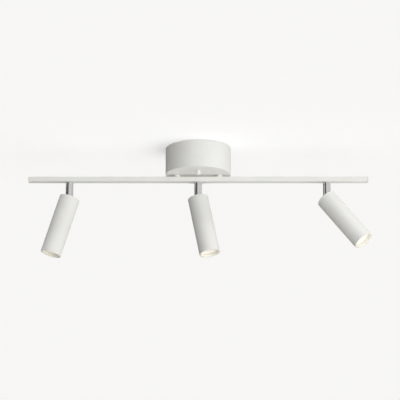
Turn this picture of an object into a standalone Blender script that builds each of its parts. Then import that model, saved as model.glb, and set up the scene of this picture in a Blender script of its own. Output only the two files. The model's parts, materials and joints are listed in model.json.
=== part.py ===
"""Three-spot ceiling bar: a round canopy, a rectangular bar and three adjustable cylinder heads.

Run with: blender --background --python part.py
Units are metres and +Z is up. The origin is the centre of the ceiling face, with the bar along X.
Each head swivels on a vertical stem and tilts on a hinge pin just inside its top end.
"""

from math import cos, pi, radians, sin, sqrt

import bmesh
import bpy
from mathutils import Vector

# ---------------------------------------------------------------- driving dimensions
GAP = 0.0003                    # clearance between neighbouring pieces

CANOPY_RADIUS = 0.0675
CANOPY_BOTTOM = -0.0570
CANOPY_TOP = -0.0008
CANOPY_WALL = 0.0015
CANOPY_EDGE = 0.0010            # rounding of the lower rim

BRACKET_SIZE = (0.024, 0.096, 0.0015)
SLOT_Y = 0.0240                 # ceiling screw slots, either side of the centre
SLOT_LENGTH = 0.012
SLOT_WIDTH = 0.0045
STUD_Y = 0.0380
STUD_RADIUS = 0.0020
STUD_HOLE = 0.0023
COLLAR_RADIUS = 0.0036          # nut that clamps a stud under the bracket
COLLAR_HEIGHT = 0.0022
CAP_NUT_RADIUS = 0.0045
CAP_NUT_HEIGHT = 0.0095
CAP_NUT_CROWN = 0.0010
CAP_NUT_FLOOR = 0.0020          # solid end under the thread
ROUND_SIDES = 16                # small holes and turned steel

BAR_LENGTH = 0.700
BAR_WIDTH = 0.016
BAR_HEIGHT = 0.010
BAR_TOP = -0.0620
BAR_WALL = 0.0012
BAR_CORNER = 0.0008
BAR_END = 0.0012                # thickness of an end cap's outer plate
DUCT_CORNER = 0.0002

SPACER_X = 0.0436
SPACER_RADIUS = 0.0065
BOLT_RADIUS = 0.0028
BOLT_BORE = 0.0020
BOLT_HOLE = 0.0033
BOLT_NUT_HOLE = 0.0031
BOLT_HEAD_RADIUS = 0.0045
BOLT_HEAD_HEIGHT = 0.0014
BOLT_REACH = 0.0050             # how far the bolt stands above its nut's lower face
BOLT_NUT_FLATS = 0.0085
NUT_HEIGHT = 0.0030

PIVOT_Z = -0.1086               # height of the tilt axis
STEM_RADIUS = 0.0078
NECK_RADIUS = 0.0045
NECK_HOLE = 0.0048
STEM_BORE = 0.0030
BUSH_RADIUS = 0.0055
BUSH_HOLE = 0.0058
FLANGE_RADIUS = 0.0076
FLANGE_HEIGHT = 0.0008
SLEEVE_RISE = 0.0010            # bush sleeve above the bar's inside floor
SHOULDER_EDGE = 0.0004
SWIVEL_NUT_FLATS = 0.0110
SWIVEL_NUT_HEIGHT = 0.0022
NECK_RISE = 0.0030              # neck above the lower face of the swivel nut
PIN_RADIUS = 0.0015
PIN_HOLE = 0.0018
PIN_RISE = 0.0008               # pin end outside the ear
PIN_CHAMFER = 0.0003
WASHER_RADIUS = 0.0052
PAST = 0.0200                   # reach of a cutter that goes right through

HEAD_RADIUS = 0.0210
HEAD_LENGTH = 0.1250
HEAD_WALL = 0.0015
HEAD_EDGE = 0.0008
TOP_OFFSET = 0.0030             # from the tilt axis up to the head's top face
CAP_THICKNESS = 0.0030
SLOT_HALF_WIDTH = 0.0081
SLOT_HALF_LENGTH = 0.0185
EAR_INNER = 0.0084
EAR_OUTER = 0.0114
EAR_DEPTH = 0.0060
EAR_HALF = 0.0050
EAR_ROOT = 0.0010               # overlap of an ear with the disc
MOUTH_EDGE = 0.0003
RING_INSET = 0.0004             # ring's face inside the mouth
LENS_RECESS = 0.0060
RING_INNER = 0.0176
LEAD_RADIUS = 0.0007
LEAD_SIDES = 6
STEM_FLAT = 0.0069              # flat on the stem's side, for the friction washer
FLAT_TOP = 0.0080

EARTH_Y = 0.0100
TERMINAL_HALF = 0.0150
TERMINAL_DEPTH = 0.0140
TERMINAL_BACK = -0.0020
TERMINAL_HEIGHT = 0.0130
TERMINAL_PITCH = 0.0090
SCREW_WELL = 0.0021
SCREW_WELL_DEPTH = 0.0050
WIRE_WELL = 0.0016
WIRE_WELL_DROP = 0.0040         # wire entry below the block's top
WIRE_WELL_SHORT = 0.0030
EARTH_HEAD = (0.0038, 0.0030)   # radius at the bracket and at the face
EARTH_HEAD_HEIGHT = (0.0016, 0.0024)
DRIVER_LENGTH = 0.0900
DRIVER_WIDTH = 0.0260
DRIVER_HEIGHT = 0.0240
DRIVER_FRONT = 0.0070
BAR_PLUG = 0.0060               # how far an end cap reaches into the bar

FIN_COUNT = 12
FIN_ROOT = 0.0075
FIN_TIP = 0.0188
FIN_HALF = 0.0008
SINK_LENGTH = 0.0550
BOARD_THICKNESS = 0.0016
LENS_HEIGHT = 0.0175
LENS_RADIUS = 0.0190
LENS_FLANGE = 0.0016
LENS_STEP = 0.0006
LENS_BACK = 0.0065
LENS_CONE = 0.0165
BOARD_RADIUS = 0.0175
LEAD_OFFSET = 0.0120

# name, place along the bar, heading of the lean (0 faces the room, +X is 90), tilt from vertical
HEADS = (
    ("left", -0.265, radians(-76.7), radians(17.1)),
    ("middle", 0.000, radians(50.0), radians(14.5)),
    ("right", 0.265, radians(64.3), radians(38.8)),
)

MOUTH = TOP_OFFSET - HEAD_LENGTH
INNER_RADIUS = HEAD_RADIUS - HEAD_WALL
LENS_FACE = MOUTH + LENS_RECESS


# ---------------------------------------------------------------- helpers
def clear_scene():
    for obj in list(bpy.data.objects):
        bpy.data.objects.remove(obj, do_unlink=True)


def finish(name, color, roughness, metallic=0.0):
    material = bpy.data.materials.new(name)
    material.use_nodes = True
    shader = material.node_tree.nodes["Principled BSDF"]
    shader.inputs["Base Color"].default_value = (*color, 1.0)
    shader.inputs["Roughness"].default_value = roughness
    shader.inputs["Metallic"].default_value = metallic
    material.diffuse_color = (*color, 1.0)
    return material


def add_object(name, mesh, material, parent=None):
    obj = bpy.data.objects.new(name, mesh)
    bpy.context.scene.collection.objects.link(obj)
    if material is not None:
        mesh.materials.append(material)
    obj.parent = parent
    return obj


def mesh_from(name, bm, smooth=True):
    bmesh.ops.recalc_face_normals(bm, faces=bm.faces)
    mesh = bpy.data.meshes.new(name)
    bm.to_mesh(mesh)
    bm.free()
    if smooth:
        mesh.shade_smooth()
        mesh.set_sharp_from_angle(angle=radians(35))
    return mesh


def spin_outline(bm, outline, steps, closed):
    """Turns an outline of (radius, height) points about Z."""
    verts = [bm.verts.new((radius, 0.0, height)) for radius, height in outline]
    pairs = list(zip(verts, verts[1:]))
    if closed:
        pairs.append((verts[-1], verts[0]))
    edges = [bm.edges.new(pair) for pair in pairs]
    bmesh.ops.spin(
        bm, geom=verts + edges, axis=(0, 0, 1), cent=(0, 0, 0), angle=2 * pi, steps=steps, use_merge=True
    )
    bmesh.ops.remove_doubles(bm, verts=bm.verts, dist=1e-7)


def turned(name, outline, steps, material, parent=None, at=(0, 0, 0)):
    """A lathe-turned piece. An outline that starts and ends on the axis is left open there."""
    bm = bmesh.new()
    closed = outline[0][0] > 0
    spin_outline(bm, outline, steps, closed)
    obj = add_object(name, mesh_from(name, bm), material, parent)
    obj.location = at
    return obj


def arc(center, radius, start, end, steps):
    """Points of an arc in the (radius, height) plane, angles in degrees."""
    points = []
    for i in range(steps + 1):
        angle = radians(start + (end - start) * i / steps)
        points.append((center[0] + radius * cos(angle), center[1] + radius * sin(angle)))
    return points


def prism(name, outline, low, high, material, parent=None):
    """A flat outline of (x, y) points, extruded along Z."""
    bm = bmesh.new()
    face = bm.faces.new([bm.verts.new((x, y, low)) for x, y in outline])
    grown = bmesh.ops.extrude_face_region(bm, geom=[face])
    lifted = [item for item in grown["geom"] if isinstance(item, bmesh.types.BMVert)]
    bmesh.ops.translate(bm, verts=lifted, vec=(0, 0, high - low))
    return add_object(name, mesh_from(name, bm), material, parent)


def add_box(bm, low, high):
    """Adds a closed box between two corners to a mesh."""
    size = [b - a for a, b in zip(low, high)]
    center = [(a + b) / 2 for a, b in zip(low, high)]
    made = bmesh.ops.create_cube(bm, size=1.0)["verts"]
    bmesh.ops.scale(bm, verts=made, vec=size)
    bmesh.ops.translate(bm, verts=made, vec=center)


def block(name, low, high, material, parent=None, edge=0.0):
    """A box between two corners, with its edges bevelled."""
    bm = bmesh.new()
    add_box(bm, low, high)
    if edge:
        bmesh.ops.bevel(bm, geom=bm.edges, offset=edge, segments=2, profile=0.5, affect="EDGES")
    return add_object(name, mesh_from(name, bm), material, parent)


def add_rod(bm, radius, start, end, sides):
    """Adds a closed cylinder between two points to a mesh."""
    start, end = Vector(start), Vector(end)
    along = end - start
    turn = along.to_track_quat("Z", "Y").to_matrix().to_4x4()
    made = bmesh.ops.create_cone(
        bm, cap_ends=True, segments=sides, radius1=radius, radius2=radius, depth=along.length
    )["verts"]
    bmesh.ops.transform(bm, matrix=turn, verts=made)
    bmesh.ops.translate(bm, verts=made, vec=(start + end) / 2)


def cut(obj, build, operation="DIFFERENCE"):
    """Boolean with a hidden cutter, whose mesh the build function fills."""
    bm = bmesh.new()
    build(bm)
    mesh = mesh_from(obj.name, bm, False)
    cutter = add_object(obj.name + "_" + operation.lower(), mesh, None, obj.parent)
    cutter.location = obj.location
    cutter.hide_render = True
    cutter.display_type = "WIRE"
    modifier = obj.modifiers.new(operation.title(), "BOOLEAN")
    modifier.operation = operation
    modifier.object = cutter
    return modifier


def stadium(half_length, half_width, steps):
    """Outline of a slot with round ends, its length along Y."""
    reach = half_length - half_width
    points = []
    for side, first in ((1, 0), (-1, 180)):
        for i in range(steps + 1):
            angle = radians(first + 180 * i / steps)
            points.append((half_width * cos(angle), side * reach + half_width * sin(angle)))
    return points


def hexagon(across_flats):
    radius = across_flats / sqrt(3)
    return [(radius * cos(pi * i / 3), radius * sin(pi * i / 3)) for i in range(6)]


def smooth_route(points, per_span):
    """Points along Hermite spans through the route's own points, each tangent as long as its span."""
    route = [Vector(point) for point in points]
    neighbours = zip(route[:1] + route, route[1:] + route[-1:])
    ways = [(after - before).normalized() for before, after in neighbours]
    out = []
    for start, end, leave, arrive in zip(route, route[1:], ways, ways[1:]):
        span = (end - start).length
        for k in range(per_span):
            t = k / per_span
            place = start * (2 * t**3 - 3 * t**2 + 1) + end * (3 * t**2 - 2 * t**3)
            out.append(place + leave * span * (t**3 - 2 * t**2 + t) + arrive * span * (t**3 - t**2))
    out.append(route[-1])
    return out


def lead(name, points, material, parent=None, per_span=2):
    """An insulated lead: rings of points carried along a smooth route and joined into a tube."""
    route = smooth_route(points, per_span)
    bm = bmesh.new()
    across = Vector((0.0, 1.0, 0.0))
    rings = []
    for i, place in enumerate(route):
        before = route[max(i - 1, 0)]
        after = route[min(i + 1, len(route) - 1)]
        along = (after - before).normalized()
        across = (across - along * across.dot(along)).normalized()
        up = along.cross(across)
        ring = []
        for k in range(LEAD_SIDES):
            angle = 2 * pi * k / LEAD_SIDES
            ring.append(bm.verts.new(place + (across * cos(angle) + up * sin(angle)) * LEAD_RADIUS))
        rings.append(ring)
    for ring, after in zip(rings, rings[1:]):
        for k in range(LEAD_SIDES):
            n = (k + 1) % LEAD_SIDES
            bm.faces.new((ring[k], ring[n], after[n], after[k]))
    bm.faces.new(rings[0][::-1])
    bm.faces.new(rings[-1])
    return add_object(name, mesh_from(name, bm), material, parent)


# ---------------------------------------------------------------- finishes
def make_finishes():
    return {
        "white_paint": finish("white_paint", (0.80, 0.79, 0.76), 0.42),
        "chrome": finish("chrome", (0.74, 0.74, 0.75), 0.10, 1.0),
        "zinc": finish("zinc", (0.62, 0.63, 0.64), 0.35, 1.0),
        "aluminium": finish("aluminium", (0.70, 0.71, 0.72), 0.38, 1.0),
        "nylon": finish("nylon", (0.86, 0.85, 0.82), 0.55),
        "driver_plastic": finish("driver_plastic", (0.82, 0.82, 0.80), 0.50),
        "lead_white": finish("lead_white", (0.80, 0.80, 0.78), 0.50),
        "board": finish("board", (0.88, 0.88, 0.86), 0.45),
        "lens": finish("lens", (0.98, 0.96, 0.88), 0.12),
        "ring": finish("ring", (0.86, 0.85, 0.80), 0.30),
        "bronze": finish("bronze", (0.62, 0.45, 0.26), 0.35, 1.0),
    }


# ---------------------------------------------------------------- ceiling fixing
def add_slot(bm, y, low, high):
    """Adds a closed slot-shaped plug, its length along Y."""
    outline = stadium(SLOT_LENGTH / 2, SLOT_WIDTH / 2, 6)
    face = bm.faces.new([bm.verts.new((x, y + along, low)) for x, along in outline])
    grown = bmesh.ops.extrude_face_region(bm, geom=[face])
    lifted = [item for item in grown["geom"] if isinstance(item, bmesh.types.BMVert)]
    bmesh.ops.translate(bm, verts=lifted, vec=(0, 0, high - low))


def make_bracket(steel):
    width, length, thickness = BRACKET_SIZE
    bracket = block(
        "ceiling_bracket", (-width / 2, -length / 2, -thickness), (width / 2, length / 2, 0.0), steel
    )
    above, below = thickness, -2 * thickness

    def holes(bm):
        add_rod(bm, STUD_HOLE, (0, EARTH_Y, below), (0, EARTH_Y, above), ROUND_SIDES)
        for side in (-1, 1):
            add_slot(bm, side * SLOT_Y, below, above)
            add_rod(bm, STUD_HOLE, (0, side * STUD_Y, below), (0, side * STUD_Y, above), ROUND_SIDES)

    cut(bracket, holes)


def make_studs(steel, paint):
    """Two studs hang from the bracket, and a cap nut on each holds the canopy up."""
    collar_top = -BRACKET_SIZE[2] - GAP
    collar_low = collar_top - COLLAR_HEIGHT
    nut_top = CANOPY_BOTTOM - GAP
    nut_low = nut_top - CAP_NUT_HEIGHT
    well = nut_low + CAP_NUT_FLOOR
    for name, y in (("front", -STUD_Y), ("rear", STUD_Y)):
        turned(
            "stud_" + name,
            [(0, -GAP), (STUD_RADIUS, -GAP), (STUD_RADIUS, collar_top), (COLLAR_RADIUS, collar_top),
             (COLLAR_RADIUS, collar_low), (STUD_RADIUS, collar_low), (STUD_RADIUS, well + GAP),
             (0, well + GAP)],
            ROUND_SIDES, steel, at=(0, y, 0),
        )
        crown = arc((CAP_NUT_RADIUS - CAP_NUT_CROWN, nut_low + CAP_NUT_CROWN), CAP_NUT_CROWN, 0, -90, 3)
        turned(
            "cap_nut_" + name,
            [(STUD_HOLE, nut_top), (CAP_NUT_RADIUS, nut_top), *crown, (0, nut_low),
             (0, well), (STUD_HOLE, well)],
            20, paint, at=(0, y, 0),
        )


def make_canopy(paint):
    inner = CANOPY_RADIUS - CANOPY_WALL
    floor = CANOPY_BOTTOM + CANOPY_WALL
    corner = arc((CANOPY_RADIUS - CANOPY_EDGE, CANOPY_BOTTOM + CANOPY_EDGE), CANOPY_EDGE, 0, -90, 2)
    outline = [(0, floor), (inner, floor), (inner, CANOPY_TOP), (CANOPY_RADIUS, CANOPY_TOP), *corner]
    canopy = turned("canopy", [*outline, (0, CANOPY_BOTTOM)], 64, paint)

    def holes(bm):
        for side in (-1, 1):
            for place, radius in (((0, side * STUD_Y), STUD_HOLE), ((side * SPACER_X, 0), BOLT_HOLE)):
                low, high = CANOPY_BOTTOM - CANOPY_WALL, floor + CANOPY_WALL
                add_rod(bm, radius, (*place, low), (*place, high), ROUND_SIDES)

    cut(canopy, holes)


# ---------------------------------------------------------------- electrical parts in the canopy
def make_terminal_block(nylon, steel):
    top = -BRACKET_SIZE[2] - GAP
    low = top - TERMINAL_HEIGHT
    near, far = (-TERMINAL_HALF, TERMINAL_BACK - TERMINAL_DEPTH, low), (TERMINAL_HALF, TERMINAL_BACK, top)
    terminal = block("terminal_block", near, far, nylon, edge=0.0006)
    middle = TERMINAL_BACK - TERMINAL_DEPTH / 2
    entry = top - WIRE_WELL_DROP

    def wells(bm):
        for pole in (-1, 0, 1):
            x = pole * TERMINAL_PITCH
            add_rod(bm, SCREW_WELL, (x, middle, low - GAP), (x, middle, low + SCREW_WELL_DEPTH), 12)
            front, back = middle - TERMINAL_DEPTH, middle - WIRE_WELL_SHORT
            add_rod(bm, WIRE_WELL, (x, front, entry), (x, back, entry), 12)

    cut(terminal, wells)
    head = -BRACKET_SIZE[2] - GAP
    rim, face = [head - height for height in EARTH_HEAD_HEIGHT]
    turned(
        "earth_screw",
        [(0, -GAP), (STUD_RADIUS, -GAP), (STUD_RADIUS, head), (EARTH_HEAD[0], head), (EARTH_HEAD[0], rim),
         (EARTH_HEAD[1], face), (0, face)],
        ROUND_SIDES, steel, at=(0, EARTH_Y, 0),
    )


def make_driver(plastic):
    """The LED driver rests on the canopy floor behind the two bar bolts."""
    floor = CANOPY_BOTTOM + CANOPY_WALL + GAP
    low = (-DRIVER_LENGTH / 2, DRIVER_FRONT, floor)
    high = (DRIVER_LENGTH / 2, DRIVER_FRONT + DRIVER_WIDTH, floor + DRIVER_HEIGHT)
    block("led_driver", low, high, plastic, edge=0.0015)


# ---------------------------------------------------------------- bar and what hangs it
def make_bar_fixings(paint, steel):
    """Each spacer carries a hollow bolt from inside the bar to a nut inside the canopy."""
    bar_inside = BAR_TOP - BAR_WALL
    nut_low = CANOPY_BOTTOM + CANOPY_WALL + GAP
    for name, side in (("left", -1), ("right", 1)):
        place = (side * SPACER_X, 0, 0)
        turned(
            "spacer_" + name,
            [(BOLT_HOLE, CANOPY_BOTTOM - GAP), (BOLT_HOLE, BAR_TOP + GAP), (SPACER_RADIUS, BAR_TOP + GAP),
             (SPACER_RADIUS, CANOPY_BOTTOM - GAP)],
            24, paint, at=place,
        )
        head_top = bar_inside - GAP
        head_low = head_top - BOLT_HEAD_HEIGHT
        tip = nut_low + BOLT_REACH
        turned(
            "hollow_bolt_" + name,
            [(BOLT_BORE, tip), (BOLT_BORE, head_low), (BOLT_HEAD_RADIUS, head_low),
             (BOLT_HEAD_RADIUS, head_top), (BOLT_RADIUS, head_top), (BOLT_RADIUS, tip)],
            ROUND_SIDES, steel, at=place,
        )
        nut = prism("bolt_nut_" + name, hexagon(BOLT_NUT_FLATS), nut_low, nut_low + NUT_HEIGHT, steel)
        nut.location = place
        below, above = (0, 0, nut_low - NUT_HEIGHT), (0, 0, nut_low + 2 * NUT_HEIGHT)
        cut(nut, lambda bm: add_rod(bm, BOLT_NUT_HOLE, below, above, ROUND_SIDES))


def rounded_rectangle(width, height, corner, steps):
    points = []
    for sx, sy, first in ((1, 1, 0), (-1, 1, 90), (-1, -1, 180), (1, -1, 270)):
        for i in range(steps + 1):
            angle = radians(first + 90 * i / steps)
            x = sx * (width / 2 - corner) + corner * cos(angle)
            y = sy * (height / 2 - corner) + corner * sin(angle)
            points.append((x, y))
    return points


def add_bar_length(bm, width, height, corner, start, end):
    """Adds a length of rectangular section along X, centred on the bar."""
    middle = BAR_TOP - BAR_HEIGHT / 2
    outline = rounded_rectangle(width, height, corner, 2)
    face = bm.faces.new([bm.verts.new((start, y, middle + z)) for y, z in outline])
    grown = bmesh.ops.extrude_face_region(bm, geom=[face])
    moved = [item for item in grown["geom"] if isinstance(item, bmesh.types.BMVert)]
    bmesh.ops.translate(bm, verts=moved, vec=(end - start, 0, 0))


def make_bar(paint):
    half = BAR_LENGTH / 2 - BAR_END - GAP
    duct_width = BAR_WIDTH - 2 * BAR_WALL
    duct_height = BAR_HEIGHT - 2 * BAR_WALL
    bottom = BAR_TOP - BAR_HEIGHT
    bm = bmesh.new()
    add_bar_length(bm, BAR_WIDTH, BAR_HEIGHT, BAR_CORNER, -half, half)
    bar = add_object("bar", mesh_from("bar", bm), paint)
    cut(bar, lambda bm: add_bar_length(bm, duct_width, duct_height, DUCT_CORNER, -half - PAST, half + PAST))

    def holes(bm):
        for side in (-1, 1):
            x = side * SPACER_X
            add_rod(bm, BOLT_HOLE, (x, 0, BAR_TOP - 2 * BAR_WALL), (x, 0, BAR_TOP + BAR_WALL), ROUND_SIDES)
        for head in HEADS:
            add_rod(bm, BUSH_HOLE, (head[1], 0, bottom - BAR_WALL), (head[1], 0, bottom + 2 * BAR_WALL), 24)

    holes_cut = cut(bar, holes)
    holes_cut.name = "Holes"
    for name, side in (("left", -1), ("right", 1)):
        bm = bmesh.new()
        outer, inner = BAR_LENGTH / 2, BAR_LENGTH / 2 - BAR_END
        add_bar_length(bm, BAR_WIDTH, BAR_HEIGHT, BAR_CORNER, side * inner, side * outer)
        plate = add_object("bar_end_" + name, mesh_from("bar_end_" + name, bm), paint)
        plug_width, plug_height = duct_width - 2 * GAP, duct_height - 2 * GAP
        start, tip = side * (inner + BAR_END / 2), side * (inner - BAR_PLUG)
        cut(plate, lambda bm: add_bar_length(bm, plug_width, plug_height, DUCT_CORNER, start, tip), "UNION")


def make_bar_leads(insulation):
    """One lead for each head, from the driver down a hollow bolt, along the bar and into the stem.

    The points are the lead's own route, read from the driver on.
    """
    bar_inside = BAR_TOP - BAR_WALL
    run = bar_inside - 0.0014
    low = bar_inside - 0.0042
    end = PIVOT_Z + 0.0045
    driver_face = DRIVER_FRONT - GAP
    for (name, place, _, _), side, aside in zip(HEADS, (-1, 1, 1), (0.0, -0.00105, 0.00105)):
        x = side * SPACER_X
        way = -1 if place < x else 1
        level = aside - 0.0410
        points = [
            (side * 0.036 + aside, driver_face, level), (side * 0.036 + aside, driver_face - 0.002, level),
            (side * 0.038 + aside, 0.0020, level - 0.0005), (x + aside, 0.0, -0.0460),
            (x + aside, 0.0, -0.0490), (x + aside, 0.0, low + 0.0060),
            (x + aside, 0.0, low + 0.0025), (x + aside + way * 0.0025, aside, low),
            (x + way * 0.0065, aside, low), (x + way * 0.0120, aside, run), (x + way * 0.0170, aside, run),
            (place - way * 0.0170, 0.0, run), (place - way * 0.0090, 0.0, run),
            (place - way * 0.0030, 0.0, run), (place, 0.0, run - 0.0030), (place, 0.0, run - 0.0080),
            (place, 0.0, end),
        ]
        lead("lead_" + name, points, insulation)


# ---------------------------------------------------------------- swivel stems
def make_stem(name, pivot, chrome, nylon, steel):
    """Stem, bush, nut and hinge pin. Heights in the stem's own frame count from the tilt axis."""
    bar_low = BAR_TOP - BAR_HEIGHT - PIVOT_Z
    flange_top = bar_low - GAP
    flange_low = flange_top - FLANGE_HEIGHT
    shoulder = flange_low - GAP
    sleeve_top = bar_low + BAR_WALL + SLEEVE_RISE
    nut_low = sleeve_top + SHOULDER_EDGE
    neck_top = nut_low + NECK_RISE
    bush = turned(
        "swivel_bush_" + name,
        [(NECK_HOLE, flange_low), (FLANGE_RADIUS, flange_low), (FLANGE_RADIUS, flange_top),
         (BUSH_RADIUS, flange_top), (BUSH_RADIUS, sleeve_top), (NECK_HOLE, sleeve_top)],
        24, nylon,
    )
    bush.location = pivot.location
    bore_end = -sqrt(STEM_RADIUS**2 - STEM_BORE**2)
    lowest = -90 + 180 / pi * (STEM_BORE / STEM_RADIUS)
    ball = arc((0, 0), STEM_RADIUS, 0, lowest, 4)
    stem = turned(
        "stem_" + name,
        [(STEM_BORE, neck_top), (NECK_RADIUS, neck_top), (NECK_RADIUS, shoulder),
         (STEM_RADIUS - SHOULDER_EDGE, shoulder), (STEM_RADIUS, shoulder - SHOULDER_EDGE), *ball, (STEM_BORE, bore_end)],
        24, chrome, pivot,
    )
    cut(stem, lambda bm: add_box(bm, (STEM_FLAT, -PAST, -PAST), (PAST, PAST, FLAT_TOP)))
    cut(stem, lambda bm: add_rod(bm, PIN_HOLE, (-PAST, 0, 0), (PAST, 0, 0), ROUND_SIDES)).name = "Pin hole"
    nut_top = nut_low + SWIVEL_NUT_HEIGHT
    nut = prism("swivel_nut_" + name, hexagon(SWIVEL_NUT_FLATS), nut_low, nut_top, steel, pivot)
    below, above = (0, 0, nut_low - SWIVEL_NUT_HEIGHT), (0, 0, nut_top + SWIVEL_NUT_HEIGHT)
    cut(nut, lambda bm: add_rod(bm, NECK_HOLE, below, above, 24))
    return stem


def make_hinge(name, tilt, steel, bronze):
    """The pin joins stem and head. The spring washer beside the stem gives the hinge its friction."""
    end = EAR_OUTER + PIN_RISE
    chamfer = PIN_CHAMFER
    pin = turned(
        "hinge_pin_" + name,
        [(0, -end), (PIN_RADIUS - chamfer, -end), (PIN_RADIUS, chamfer - end), (PIN_RADIUS, end - chamfer),
         (PIN_RADIUS - chamfer, end), (0, end)],
        ROUND_SIDES, steel, tilt,
    )
    pin.rotation_euler = (0, pi / 2, 0)
    washer = turned(
        "friction_washer_" + name,
        [(PIN_HOLE, STEM_FLAT + GAP), (WASHER_RADIUS, STEM_FLAT + GAP), (WASHER_RADIUS, EAR_INNER - GAP),
         (PIN_HOLE, EAR_INNER - GAP)],
        20, bronze, tilt,
    )
    washer.rotation_euler = (0, pi / 2, 0)


# ---------------------------------------------------------------- heads
def make_end_cap(name, tilt, paint):
    """Disc with a slot for the stem, and an ear on either side of it for the hinge pin."""
    top = TOP_OFFSET
    low = top - CAP_THICKNESS
    radius = INNER_RADIUS - GAP
    cap = turned("end_cap_" + name, [(0, low), (radius, low), (radius, top), (0, top)], 32, paint, tilt)

    def ears(bm):
        for side in (-1, 1):
            near, far = sorted((side * EAR_INNER, side * EAR_OUTER))
            add_box(bm, (near, -EAR_HALF, low + EAR_ROOT - EAR_DEPTH), (far, EAR_HALF, low + EAR_ROOT))

    def openings(bm):
        outline = stadium(SLOT_HALF_LENGTH, SLOT_HALF_WIDTH, 6)
        face = bm.faces.new([bm.verts.new((x, y, low - CAP_THICKNESS)) for x, y in outline])
        grown = bmesh.ops.extrude_face_region(bm, geom=[face])
        lifted = [item for item in grown["geom"] if isinstance(item, bmesh.types.BMVert)]
        bmesh.ops.translate(bm, verts=lifted, vec=(0, 0, 3 * CAP_THICKNESS))

    cut(cap, ears, "UNION")
    cut(cap, openings).name = "Slot"
    cut(cap, lambda bm: add_rod(bm, PIN_HOLE, (-PAST, 0, 0), (PAST, 0, 0), ROUND_SIDES)).name = "Pin holes"


def make_shade(name, tilt, paint):
    edge = arc((HEAD_RADIUS - HEAD_EDGE, TOP_OFFSET - HEAD_EDGE), HEAD_EDGE, 90, 0, 2)
    turned(
        "shade_" + name,
        [(INNER_RADIUS, TOP_OFFSET), *edge, (HEAD_RADIUS, MOUTH + MOUTH_EDGE),
         (HEAD_RADIUS - MOUTH_EDGE, MOUTH), (INNER_RADIUS, MOUTH)],
        48, paint, tilt,
    )


def fin_outline():
    """Star of radial fins: two outer and two inner corners for each fin."""
    points = []
    for i in range(FIN_COUNT):
        middle = 2 * pi * i / FIN_COUNT
        for radius, side in ((FIN_ROOT, -1), (FIN_TIP, -1), (FIN_TIP, 1), (FIN_ROOT, 1)):
            angle = middle + side * FIN_HALF / radius
            points.append((radius * cos(angle), radius * sin(angle)))
    return points


def make_light_engine(name, tilt, finishes):
    """Heat sink, LED board, lens and the ring that holds the lens, from the inside out."""
    board_top = LENS_FACE + LENS_HEIGHT + BOARD_THICKNESS + 2 * GAP
    sink_low = board_top + GAP
    prism("heat_sink_" + name, fin_outline(), sink_low, sink_low + SINK_LENGTH, finishes["aluminium"], tilt)
    board_low = board_top - BOARD_THICKNESS
    turned(
        "led_board_" + name,
        [(0, board_low), (BOARD_RADIUS, board_low), (BOARD_RADIUS, board_top), (0, board_top)],
        24, finishes["board"], tilt,
    )
    lens_top = board_low - 2 * GAP
    flange = LENS_FACE + LENS_FLANGE
    step = flange + LENS_STEP
    turned(
        "lens_" + name,
        [(0, lens_top), (LENS_BACK, lens_top), (LENS_CONE, step), (LENS_RADIUS, step),
         (LENS_RADIUS, LENS_FACE + GAP), (0, LENS_FACE + GAP)],
        32, finishes["lens"], tilt,
    )
    ring_outer = INNER_RADIUS - GAP
    turned(
        "trim_ring_" + name,
        [(RING_INNER, LENS_FACE), (ring_outer, LENS_FACE), (ring_outer, MOUTH + RING_INSET),
         (RING_INNER, MOUTH + RING_INSET)],
        40, finishes["ring"], tilt,
    )
    between = pi / FIN_COUNT
    side = Vector((cos(between), sin(between), 0)) * LEAD_OFFSET
    ball_low = -STEM_RADIUS - LEAD_RADIUS - 2 * GAP
    points = [
        (0, 0, ball_low), (0, 0, ball_low - 0.004), (*(side * 0.5).xy, ball_low - 0.012),
        (*side.xy, sink_low + SINK_LENGTH), (*side.xy, sink_low + SINK_LENGTH / 2),
        (*side.xy, board_top + 0.0002),
    ]
    lead("lamp_lead_" + name, points, finishes["lead_white"], tilt)


def make_head(name, x, heading, lean, finishes):
    """Everything below the bar for one light. The empties sit on the swivel and tilt axes."""
    swivel = add_object(name + "_swivel_axis", None, None)
    swivel.location = (x, 0, PIVOT_Z)
    swivel.rotation_euler = (0, 0, heading)
    tilt = add_object(name + "_tilt_axis", None, None, swivel)
    tilt.rotation_euler = (-lean, 0, 0)
    make_stem(name, swivel, finishes["chrome"], finishes["nylon"], finishes["zinc"])
    make_hinge(name, swivel, finishes["zinc"], finishes["bronze"])
    make_end_cap(name, tilt, finishes["white_paint"])
    make_shade(name, tilt, finishes["white_paint"])
    make_light_engine(name, tilt, finishes)


def main():
    clear_scene()
    finishes = make_finishes()
    make_bracket(finishes["zinc"])
    make_studs(finishes["zinc"], finishes["white_paint"])
    make_canopy(finishes["white_paint"])
    make_terminal_block(finishes["nylon"], finishes["zinc"])
    make_driver(finishes["driver_plastic"])
    make_bar_fixings(finishes["white_paint"], finishes["zinc"])
    make_bar(finishes["white_paint"])
    make_bar_leads(finishes["lead_white"])
    for name, x, heading, lean in HEADS:
        make_head(name, x, heading, lean, finishes)


main()
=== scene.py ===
# %% [markdown]
# # A three-spot ceiling bar
# A round canopy hides the wiring at the ceiling, a rectangular bar hangs under it, and three
# cylinder heads hang from the bar on chrome stems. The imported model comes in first, as a fixed
# frame: it says how big every piece is and which pieces move together.

import json
from math import atan2, cos, degrees, radians, sin

import bpy
from mathutils import Matrix, Vector


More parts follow.
